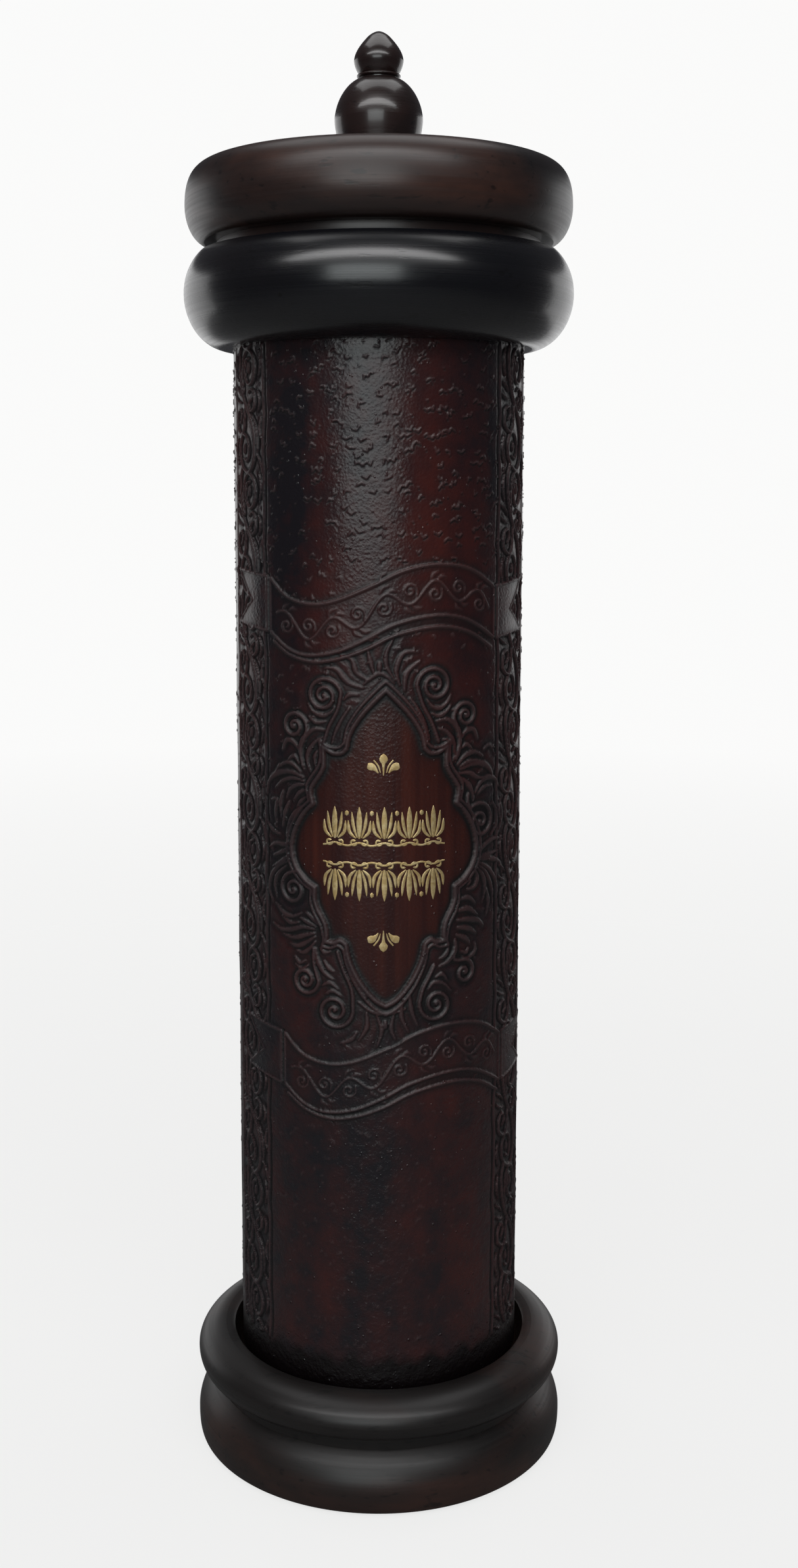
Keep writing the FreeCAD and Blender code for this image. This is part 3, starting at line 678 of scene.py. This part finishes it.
def leather_material():
    """Antiqued leather: black, and oxblood where the dye is rubbed through."""
    m = Surface("embossed_leather")
    streaks = m.noise(26, 4, 0.6, m.stretched(z=0.22))
    clouds = m.noise(70, 5, 0.62, m.stretched(z=0.45))
    blots = m.noise(210, 3, 0.6)
    redness = m.value("rubbed")
    for pattern, low, high, sway in (
            (streaks, 0.35, 0.65, 0.16), (clouds, 0.3, 0.7, 0.1), (blots, 0.3, 0.7, 0.14)):
        redness = m.sum(redness, m.span(pattern, low, high, -sway, sway))
    skin = m.blend(m.span(redness, 0.0, 1.0), BLACK_DYE, OXBLOOD)
    brushed = m.noise(260, 3, 0.6, m.stretched(z=0.02))
    field = m.blend(m.span(brushed, 0.38, 0.64), FIELD_DARK, FIELD_RED)
    field = m.blend(m.span(clouds, 0.35, 0.7, 0, 0.6), field, FIELD_CLOUD)
    # painted shade on the field along its edge
    field = m.blend(m.times(m.value("shade"), 0.75), field, FIELD_EDGE_SHADE)
    skin = m.blend(m.value("field"), skin, field)
    # raised lines lighter: rubbed wear and a painted highlight
    skin = m.blend(m.times(m.value("raised"), 0.5), skin, RIDGE_WEAR_AND_HIGHLIGHT)
    # hollows darker: wax in them and painted shade
    skin = m.blend(m.value("sunk"), skin, WAX_AND_SHADE_IN_HOLLOWS)
    # darker towards the leather's foot, inside the base's mouth
    skin = m.blend(m.value("foot_darkening"), skin, FOOT_DARK_TONE)
    rough = m.sum(m.span(clouds, 0.3, 0.7, 0.23, 0.31), m.times(m.value("raised"), 0.2))
    rough = m.sum(rough, m.sum(m.times(m.value("sunk"), 0.25), m.times(m.value("foot_darkening"), 0.06)))
    specks = m.times(m.span(m.cells(520), 0.16, 0.06), m.span(m.noise(150, 2, 0.5), 0.5, 0.54))
    grain = m.sum(m.noise(1100, 3, 0.6), m.times(m.cells(1500), 0.5))
    height = m.node("SeparateXYZ", {"Vector": m.place}).outputs["Z"]
    pebbles = m.bump(m.times(m.noise(560, 4, 0.62), m.span(height, *PEBBLED_Z)), 0.00028)
    normal = m.bump(m.sum(m.times(specks, 1.2), m.times(grain, 0.65)), 0.0001, pebbles)
    m.set(Base_Color=skin, Roughness=rough, Normal=normal)
    return m.material


def gold_material():
    m = Surface("stamped_gold", Metallic=0.75, Specular_IOR_Level=0.6)
    wear = m.noise(900, 4, 0.65)
    m.mottle(wear, (0.62, 0.44, 0.19, 1), (0.86, 0.68, 0.36, 1), 0.00003, 0.42, 0.62)
    m.set(Roughness=m.span(wear, 0.3, 0.7, 0.55, 0.4))
    return m.material


# Turned woods: dark and warm colours, how much shows warm, roughness, coat and its roughness
WOODS = {
    "black": ((0.0036, 0.0038, 0.0055, 1), (0.009, 0.006, 0.0065, 1), -0.03, 0.28, 0.52, 0.2),
    "brown": ((0.0085, 0.0062, 0.0066, 1), (0.088, 0.036, 0.024, 1), 0.04, 0.38, 0.25, 0.3),
    "base": ((0.0085, 0.0066, 0.0062, 1), (0.078, 0.029, 0.019, 1), 0.05, 0.44, 0.1, 0.26),
    "knob": ((0.015, 0.0082, 0.0075, 1), (0.088, 0.034, 0.027, 1), 0.05, 0.29, 0.55, 0.12),
}
PORE = (0.0008, 0.0006, 0.0006, 1)


def wood_material(name, dark, warm, warmth, rough, gloss, polish):
    """Stained and lacquered wood with fine rings from the lathe and pores along the grain."""
    m = Surface(name + "_turned_wood", Coat_Weight=gloss, Coat_Roughness=polish)
    figure = m.noise(14, 4, 0.55, m.stretched(0.45, 1.0, 1.6), 0.6)
    fibre = m.noise(320, 3, 0.6, m.stretched(x=0.12))
    rings = m.noise(1.0, 3, 0.6, m.stretched(8, 8, 2600))
    bands = m.noise(1.0, 2, 0.5, m.stretched(14, 14, 420))
    pores = m.span(m.noise(700, 2, 0.5, m.stretched(x=0.25)), 0.62, 0.7)
    nicks = m.times(m.span(m.cells(260), 0.16, 0.1), m.span(m.noise(26, 2, 0.5), 0.63, 0.65))
    marks = m.sum(m.times(pores, 0.6), nicks)
    colour = m.blend(m.span(figure, 0.5 - warmth, 0.8 - warmth), dark, warm)
    colour = m.blend(m.span(fibre, 0.35, 0.75, 0, 0.45), colour, dark)
    colour = m.blend(m.span(bands, 0.35, 0.7, 0, 0.4), colour, dark)
    colour = m.blend(m.span(marks, 0.0, 1.0), colour, PORE)
    dull = m.span(bands, 0.3, 0.7, rough - 0.04, rough + 0.04)
    dull = m.sum(m.span(rings, 0.3, 0.7, -0.05, 0.05), dull)
    height = m.sum(m.times(rings, 0.6), m.times(marks, -1.0))
    m.set(Base_Color=colour, Roughness=dull, Normal=m.bump(height, 0.000018))
    return m.material


def felt_material(name, colour, light):
    m = Surface(name, Sheen_Weight=0.5, Sheen_Roughness=0.5, Roughness=0.95)
    m.mottle(m.noise(1700, 5, 0.75), colour, light, 0.0003)
    return m.material


def board_material():
    m = Surface("stained_board", Roughness=0.75, Specular_IOR_Level=0.3)
    fibres = m.noise(500, 4, 0.7, m.stretched(z=0.3))
    m.mottle(fibres, (0.0016, 0.001, 0.001, 1), (0.005, 0.0022, 0.002, 1), 0.00006)
    return m.material


def steel_material():
    m = Surface("zinc_plated_steel", Metallic=1.0)
    brushed = m.noise(600, 3, 0.6, m.stretched(z=4.0))
    m.mottle(brushed, (0.42, 0.41, 0.38, 1), (0.62, 0.61, 0.58, 1), 0.00002)
    m.set(Roughness=m.span(brushed, 0.3, 0.7, 0.28, 0.42))
    return m.material


# ---- leather ----

FINE_STEP, LOW_STEP, BACK_STEP = 0.25, 0.4, 0.62  # mesh spacing: front, below the ribbons, back
FRONT_S = 47.0  # the front reaches this far round each way
FINE_Z = 84.0  # the fine rows of the mesh start here
HIDDEN_Z = COLLAR_LOW + 0.2  # the collar hides the skin above this
INNER_GAP = 0.05  # from the tube to the leather's inner side
WAVES = 9  # sine waves summed for each of the skin's uneven outlines
FOOT_DARK_FADE = 2.6  # the black dies out over this height
# Places where the dye is rubbed through: s, z, half width, half height, strength (darker below 0)
RUBBED = [
    (9.5, 212, 7.5, 46, 0.42), (-11.5, 212, 5.5, 34, 0.3), (-4, 205, 6, 28, 0.12),
    (-20.5, 226, 6, 22, -0.14), (22, 236, 8, 24, 0.06), (19, 204, 7, 16, 0.12), (-12, 190, 10, 12, 0.24),
    (-14, 168, 14, 12, 0.16), (14, 166, 10, 14, 0.2), (-16, 112, 10, 14, 0.2), (12, 90, 9, 9, 0.16),
    (-14, 79, 5, 7, -0.1), (-8.5, 72, 3.2, 18, 0.2), (-11, 47, 3.6, 14, 0.38), (21, 44, 5, 12, 0.14),
    (-23, 38, 7, 8, 0.1), (8, 58, 9, 20, 0.06), (60, 180, 16, 60, 0.3), (-64, 90, 18, 60, 0.3),
    (90, 90, 12, 70, 0.25), (-90, 200, 14, 50, 0.25),
]


def skin_grid():
    """The mesh's columns round the tube and its rows up it."""
    edge = math.pi * LEATHER_R - SEAM_GAP / 2
    front = np.arange(-FRONT_S, FRONT_S, FINE_STEP)
    back = np.arange(front[-1] + BACK_STEP, edge, BACK_STEP)
    s = np.concatenate([[-edge], -back[::-1], front, back, [edge]])
    low, fine = np.arange(LEATHER_LOW, FINE_Z, LOW_STEP), np.arange(FINE_Z, COLLAR_LOW + 1, FINE_STEP)
    return np.unique(np.round(s, 4)), np.concatenate([low, fine, [COLLAR_LOW + 2, LEATHER_TOP]])


def skin_radius(relief, fade, draw):
    """The skin's distance from the axis: embossed, a little uneven, and pared at its foot."""
    s, z = relief.s[None, :], relief.z[:, None]
    waves = sum(draw.uniform(0.006, 0.014) * np.sin(s * draw.uniform(0.1, 0.5) + draw.uniform(0, 6)
                                                    + z * draw.uniform(-0.25, 0.25))
                for _ in range(WAVES))
    paring = 0.35 * np.clip(1 - (z - LEATHER_LOW) / 0.9, 0, 1) ** 2
    radius = SKIN_R + relief.height * fade + waves - paring
    hidden = relief.z > HIDDEN_Z
    radius[hidden] = np.minimum(radius[hidden], LEATHER_R)
    return radius


def skin_shell(s, z, radius):
    """Points and faces of the skin with its inner side and its four cut edges."""
    rows, cols = radius.shape
    inner_s, inner_z = np.meshgrid(s, [LEATHER_LOW + INNER_GAP, LEATHER_TOP])
    points = np.vstack([wrap(*np.meshgrid(s, z), radius).reshape(-1, 3),
                        wrap(inner_s, inner_z, TUBE_R + INNER_GAP).reshape(-1, 3)])
    outer = np.arange(rows * cols).reshape(rows, cols)
    inner = rows * cols + np.arange(2 * cols).reshape(2, cols)
    faces = [grid_faces(rows, cols)]
    for low, high in ((inner[0], outer[0]), (outer[-1], inner[1]), (inner[1], inner[0])):
        faces.append(np.stack([low[:-1], low[1:], high[1:], high[:-1]], -1))
    for side, way in ((0, -1), (-1, 1)):
        faces.append(np.concatenate([outer[:, side], inner[::-1, side]])[None, ::way])
    return points, faces


def leather_fields(relief, fade, draw):
    """What the leather's material follows, from 0 to 1 over the skin."""
    s, z = relief.s[None, :], relief.z[:, None]
    step = relief.height - blurred(relief.height, 3)
    rubbed = np.interp(z, [60, 130], [0.085, 0.165])
    for s0, z0, wide, tall, strength in RUBBED:
        rubbed = rubbed + strength * np.exp(-((s - s0) / wide) ** 2 - ((z - z0) / tall) ** 2)
    # the ragged top of the band where the leather darkens to black at its foot
    ragged = PLAIN_Z + 1.4 + sum(
        draw.uniform(0.15, 0.5) * np.sin(s * draw.uniform(0.1, 1.9) + draw.uniform(0, 6))
        for _ in range(WAVES))
    return {
        "raised": np.clip(step / 0.16, 0, 1) * fade,
        "sunk": np.clip(-step / 0.14, 0, 1) * fade,
        "field": relief.field,
        "shade": relief.shade,
        "rubbed": rubbed,
        "foot_darkening": np.clip((ragged - z) / FOOT_DARK_FADE, 0, 1),
    }


def leather_cover():
    relief = emboss(*skin_grid())
    z = relief.z[:, None]
    fade = np.clip(COLLAR_LOW + 0.3 - z, 0, 1) * np.clip((z - LEATHER_LOW) / 3.5, 0, 1)
    draw = np.random.default_rng(5)
    points, faces = skin_shell(relief.s, relief.z, skin_radius(relief, fade, draw))
    cover = mesh_object("embossed_leather_cover", points, faces, leather_material(), 75)
    inner = np.zeros(2 * len(relief.s))
    for name, values in leather_fields(relief, fade, draw).items():
        attribute(cover, name, np.concatenate([values.ravel(), inner]))
    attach(cover, "case")
    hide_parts("leather_cover")


# ---- gold ----

FIELD_R = SKIN_R - FIELD_DEPTH
GOLD_ROWS = ((148.6, 1), (136.6, -1))  # the middle of each frieze; its flowers stand (1) or hang (-1)
GOLD_LEFT, GOLD_RIGHT = -12.2, 14.6
FLOWERS = 5
PALMETTE_S, PALMETTES = 1.0, ((161.3, 1), (124.3, -1))


def swelling(count, start, middle, end, peak=0.5):
    """Half widths along a stroke."""
    t = np.linspace(0, 1, count)
    return np.interp(t, [0, peak * 0.5, peak, 0.5 + peak * 0.5, 1],
                     [start, start + (middle - start) * 0.7, middle, end + (middle - end) * 0.7, end])


def foil_stroke(line, half):
    """Points and faces of one stroke of gold foil laid on the field, with a softly rounded back."""
    line = np.asarray(line, float)
    along = np.gradient(line, axis=0)
    along /= np.linalg.norm(along, axis=1, keepdims=True)
    across = np.stack([-along[:, 1], along[:, 0]], 1)
    steps = np.array([-1, -0.8, 0, 0.8, 1, 0.9, -0.9])
    lift = np.array([0.02, 0.05, 0.07, 0.05, 0.02, -0.05, -0.05])
    flat = line[:, None, :] + across[:, None, :] * (half[:, None] * steps[None, :])[..., None]
    points = wrap(flat[..., 0], flat[..., 1], FIELD_R + np.broadcast_to(lift, flat.shape[:2]))
    rows, cols = flat.shape[:2]
    faces = [grid_faces(rows, cols, closed_cols=True),
             np.arange(cols)[None, ::-1], (rows - 1) * cols + np.arange(cols)[None, :]]
    return points.reshape(-1, 3), faces


def flower_strokes(s0, z, way):
    """One flower of a frieze, upright or hanging: five pointed leaves over two small volutes."""
    def stroke(points, start, middle, end, peak):
        line = placed(points, s0, z, way)
        return line, swelling(len(line), start, middle, end, peak)
    yield stroke([(0, -2.7), (0, 0.6), (0, 4.1)], 0.2, 0.62, 0.06, 0.55)
    for side in (-1, 1):
        yield stroke([(side * 0.45, -2.5), (side * 1.25, 0.0), (side * 1.6, 3.0)], 0.12, 0.36, 0.06, 0.6)
        yield stroke([(side * 0.75, -2.6), (side * 2.1, -1.2), (side * 2.4, 1.2)], 0.12, 0.38, 0.06, 0.6)
        whorl = coil((s0 + side * 1.25, z - way * 3.45), 0.85, 0.3, 90 + 90 * side, side * way * 0.9)
        yield whorl, swelling(len(whorl), 0.16, 0.24, 0.34, 0.8)


def frieze_strokes(z, way):
    """A row of flowers on a waving stem, with a berry between each two."""
    pitch = (GOLD_RIGHT - GOLD_LEFT) / FLOWERS
    wave_s = np.linspace(GOLD_LEFT, GOLD_RIGHT, 90)
    wave_z = z - way * (3.9 + 0.3 * np.cos((wave_s - GOLD_LEFT) / pitch * 2 * math.pi))
    yield np.stack([wave_s, wave_z], 1), swelling(90, 0.18, 0.24, 0.18)
    for index in range(FLOWERS):
        yield from flower_strokes(GOLD_LEFT + (index + 0.5) * pitch, z, way)
    for index in range(1, FLOWERS):
        s = GOLD_LEFT + index * pitch
        yield np.array([(s, z + way * up) for up in (2.2, 2.5, 3.0, 3.3)]), np.array([0.1, 0.45, 0.45, 0.1])


def palmette_strokes(z, way):
    """A crowned bud between two thin and two broad leaves, upwards or downwards."""
    def leaf(points, halves):
        line = placed(points, PALMETTE_S, z, way)
        return line, np.interp(np.linspace(0, 1, len(line)), np.linspace(0, 1, len(halves)), halves)
    yield leaf([(0, -1.9), (0, 0.6), (0, 2.7)], (0.1, 0.18, 0.26, 0.4, 1.0, 0.7, 0.06))
    for side in (-1, 1):
        yield leaf([(side * 0.65, -1.3), (side * 1.1, 0.1), (side * 2.1, 1.35)], (0.1, 0.18, 0.2, 0.16))
        yield leaf([(side * 1.1, -1.4), (side * 1.7, -0.6), (side * 2.4, -0.1), (side * 3.4, 0.15)],
                   (0.12, 0.28, 0.5, 0.75, 0.82, 0.5))


def gold_ornament():
    strokes = [stroke for z, way in GOLD_ROWS for stroke in frieze_strokes(z, way)]
    strokes += [stroke for z, way in PALMETTES for stroke in palmette_strokes(z, way)]
    points, faces = [], []
    first = 0
    for line, half in strokes:
        spots, blocks = foil_stroke(line, half)
        points.append(spots)
        faces += [block + first for block in blocks]
        first += len(spots)
    gold = mesh_object("gold_foil_ornament", np.vstack(points), faces, gold_material(), 80)
    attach(gold, "case")
    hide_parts("gold_stamp")


# ---- soft linings ----

CHAMFER = 0.3
LINING_THICK = 0.95
GRIP_INNER_R = 26.4  # the inner side of the felt ring, in the plug's groove


def turned(name, profile, material, body, slot_name, node, fuzz, count=96):
    """A lathe mesh from a closed half-section in millimetres, roughened by fuzz."""
    profile = np.asarray(profile, float)
    angle = np.linspace(0, 2 * math.pi, count, endpoint=False)
    draw = np.random.default_rng(len(name))
    radius, height = profile[:, None, 0], profile[:, None, 1]
    rough = draw.uniform(-fuzz, fuzz, (2, len(profile), count))
    radius = np.maximum(radius + rough[0], 0)
    height = np.maximum(height + rough[1], 0)
    points = np.stack([radius * np.cos(angle), radius * np.sin(angle), height], -1) * MM
    faces = [grid_faces(len(profile), count, closed_rows=True, closed_cols=True)[:, ::-1]]
    obj = mesh_object(name, points.reshape(-1, 3), faces, material)
    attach(obj, body)
    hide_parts(node)


def sleeve_profile(inner, outer, low, high, rows):
    """A sleeve's half-section with its long sides divided into rows."""
    heights = np.linspace(low, high, rows)[1:-1]
    foot = [(inner + CHAMFER, low), (outer - CHAMFER, low)]
    top = [(outer - CHAMFER, high), (inner + CHAMFER, high)]
    return [*foot, *((outer, z) for z in heights), *top, *((inner, z) for z in heights[::-1])]


def disc_profile(outer, low, high, rings):
    """A disc's half-section with a pinhole at its middle and its two faces divided into rings."""
    radii = np.linspace(0.2, outer - 0.4, rings)
    side = [(outer, low + CHAMFER), (outer, (low + high) / 2), (outer, high - CHAMFER)]
    return [*((r, low) for r in radii), *side, *((r, high) for r in radii[::-1])]


def soft_pieces():
    lining = felt_material("lining_felt", (0.16, 0.018, 0.022, 1), (0.26, 0.035, 0.04, 1))
    felt = felt_material("black_felt", (0.012, 0.012, 0.013, 1), (0.035, 0.034, 0.036, 1))
    for name, node, body, slot_name, material in (
            ("base_felt_pad", "base_felt", "case", "felt", felt),
            ("chamber_floor_felt", "floor_felt", "case", "lining_felt", lining),
            ("plug_felt_disc", "plug_felt", "lid", "lining_felt", lining)):
        profile = disc_profile(low_high(node, 0)[1], *low_high(node), 26)
        turned(name, profile, material, body, slot_name, node, 0.05)
    outer = low_high("chamber_lining", 0)[1]
    profile = sleeve_profile(outer - LINING_THICK, outer, *low_high("chamber_lining"), 160)
    turned("chamber_felt_lining", profile, lining, "case", "lining_felt", "chamber_lining", 0.06)
    outer = low_high("friction_ring", 0)[1]
    profile = sleeve_profile(GRIP_INNER_R, outer, *low_high("friction_ring"), 14)
    turned("felt_grip_ring", profile, felt, "friction_ring", "felt", "friction_ring", 0.05, 160)


# ---- the CAD pieces that keep their shape ----


def cad_materials():
    wood = {name: wood_material(name, *looks) for name, looks in WOODS.items()}
    steel = steel_material()
    finish = {"base_foot": wood["base"], "base_ring": wood["base"], "top_collar": wood["black"],
              "lid_top": wood["brown"], "lid_plug": wood["brown"], "finial_knob": wood["knob"],
              "core_tube": board_material(), "base_screws": steel, "lid_screw": steel}
    for node, material in finish.items():
        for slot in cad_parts[node].material_slots:
            slot.material = material


# ---- camera, light and floor ----

CAMERA_DISTANCE, CAMERA_HEIGHT = 0.3853, 0.2175
CAMERA_PITCH, CAMERA_LENS = 7.15, 39.39
CAMERA_SHIFT = (0.0129, -0.0470)
AIM_Z = 0.27  # the lamps aim at the top of the collar
PALE = (0.96, 0.96, 0.955, 1)
FLOOR_REACH, FLOOR_RINGS, FLOOR_SIDES = 2.4, 12, 64


def camera():
    data = bpy.data.cameras.new("camera")
    data.lens = CAMERA_LENS
    data.shift_x, data.shift_y = CAMERA_SHIFT
    data.clip_start = 0.01
    eye = new_object("camera", data)
    eye.location = (0, -CAMERA_DISTANCE, CAMERA_HEIGHT)
    eye.rotation_euler = (math.radians(90 - CAMERA_PITCH), 0, 0)
    bpy.context.scene.camera = eye


def softbox(name, azimuth, elevation, distance, width, height, radiance, colour=(1, 1, 1),
            shape="RECTANGLE"):
    """A broad lamp at an azimuth from the case's front, + to the right, and an elevation."""
    data = bpy.data.lights.new(name, "AREA")
    data.shape = shape
    data.size, data.size_y = width, height
    data.energy = radiance * math.pi * width * height
    data.color = colour
    lamp = new_object(name, data)
    turn, rise = math.radians(azimuth), math.radians(elevation)
    aim = np.array([0, 0, AIM_Z])
    way = np.array([math.sin(turn) * math.cos(rise), -math.cos(turn) * math.cos(rise), math.sin(rise)])
    lamp.location = aim + distance * way
    lamp.rotation_euler = (math.pi / 2 - rise, 0, turn)
    lamp.visible_camera = False


def lights():
    softbox("front_strip", -5, 41, 1.3, 2.7, 0.34, 3.9, shape="ELLIPSE")
    softbox("front_window", -8, 8, 1.3, 0.94, 0.56, 2.45, (0.94, 1.0, 1.0))
    softbox("overhead", 0, 97, 1.5, 1.9, 1.1, 1.5)
    for name, azimuth in (("left_wall", -142), ("right_wall", 146)):
        softbox(name, azimuth, -2, 1.5, 1.5, 0.9, 0.9)


def surroundings():
    """White where the camera sees past the floor, and a dim room as a source of light."""
    world = bpy.data.worlds.new("studio")
    bpy.context.scene.world = world
    world.use_nodes = True
    tree = world.node_tree
    room = tree.nodes["Background"]
    room.inputs["Color"].default_value = (0.05, 0.05, 0.055, 1)
    backdrop = tree.nodes.new("ShaderNodeBackground")
    backdrop.inputs["Color"].default_value = PALE
    ray = tree.nodes.new("ShaderNodeLightPath")
    mixer = tree.nodes.new("ShaderNodeMixShader")
    tree.links.new(ray.outputs["Is Camera Ray"], mixer.inputs[0])
    tree.links.new(room.outputs[0], mixer.inputs[1])
    tree.links.new(backdrop.outputs[0], mixer.inputs[2])
    tree.links.new(mixer.outputs[0], tree.nodes["World Output"].inputs[0])
    bpy.context.scene.view_settings.view_transform = "Standard"
    bpy.context.scene.view_settings.look = "None"


def floor():
    """A round pale floor that fades into the backdrop and throws little light back up."""
    angle = np.linspace(0, 2 * math.pi, FLOOR_SIDES, endpoint=False)
    radii = np.linspace(0, FLOOR_REACH, FLOOR_RINGS + 1)[1:]
    points = [[0, 0, 0], *([r * math.cos(a), r * math.sin(a), 0] for r in radii for a in angle)]
    fan = np.array([[0, 1 + i, 1 + (i + 1) % FLOOR_SIDES] for i in range(FLOOR_SIDES)])
    quads = grid_faces(FLOOR_RINGS, FLOOR_SIDES, closed_cols=True, first=1)[:, ::-1]
    m = Surface("pale_floor", Roughness=0.9, Specular_IOR_Level=0.1)
    far = m.node("VectorMath", {0: m.place}, operation="LENGTH").outputs["Value"]
    m.set(Base_Color=m.blend(m.noise(40, 2, 0.5), (0.84, 0.84, 0.83, 1), (0.87, 0.87, 0.86, 1)))
    lit = m.node("Emission", {"Color": PALE})
    pale = m.node("MixShader", {0: 0.78, 1: m.shader.outputs[0], 2: lit.outputs[0]})
    ray = m.node("LightPath").outputs["Is Camera Ray"]
    grey = m.node("BsdfDiffuse", {"Color": (0.22, 0.22, 0.22, 1)})
    seen = m.node("MixShader", {0: ray, 1: grey.outputs[0], 2: pale.outputs[0]})
    clear = m.node("BsdfTransparent")
    faded = m.node("MixShader", {0: m.span(far, 0.15, 1.1), 1: seen.outputs[0], 2: clear.outputs[0]})
    m.tree.links.new(faded.outputs[0], m.tree.nodes["Material Output"].inputs[0])
    ground = mesh_object("floor", np.array(points), [fan, quads], m.material)


camera()
lights()
surroundings()
floor()
leather_cover()
gold_ornament()
soft_pieces()
cad_materials()
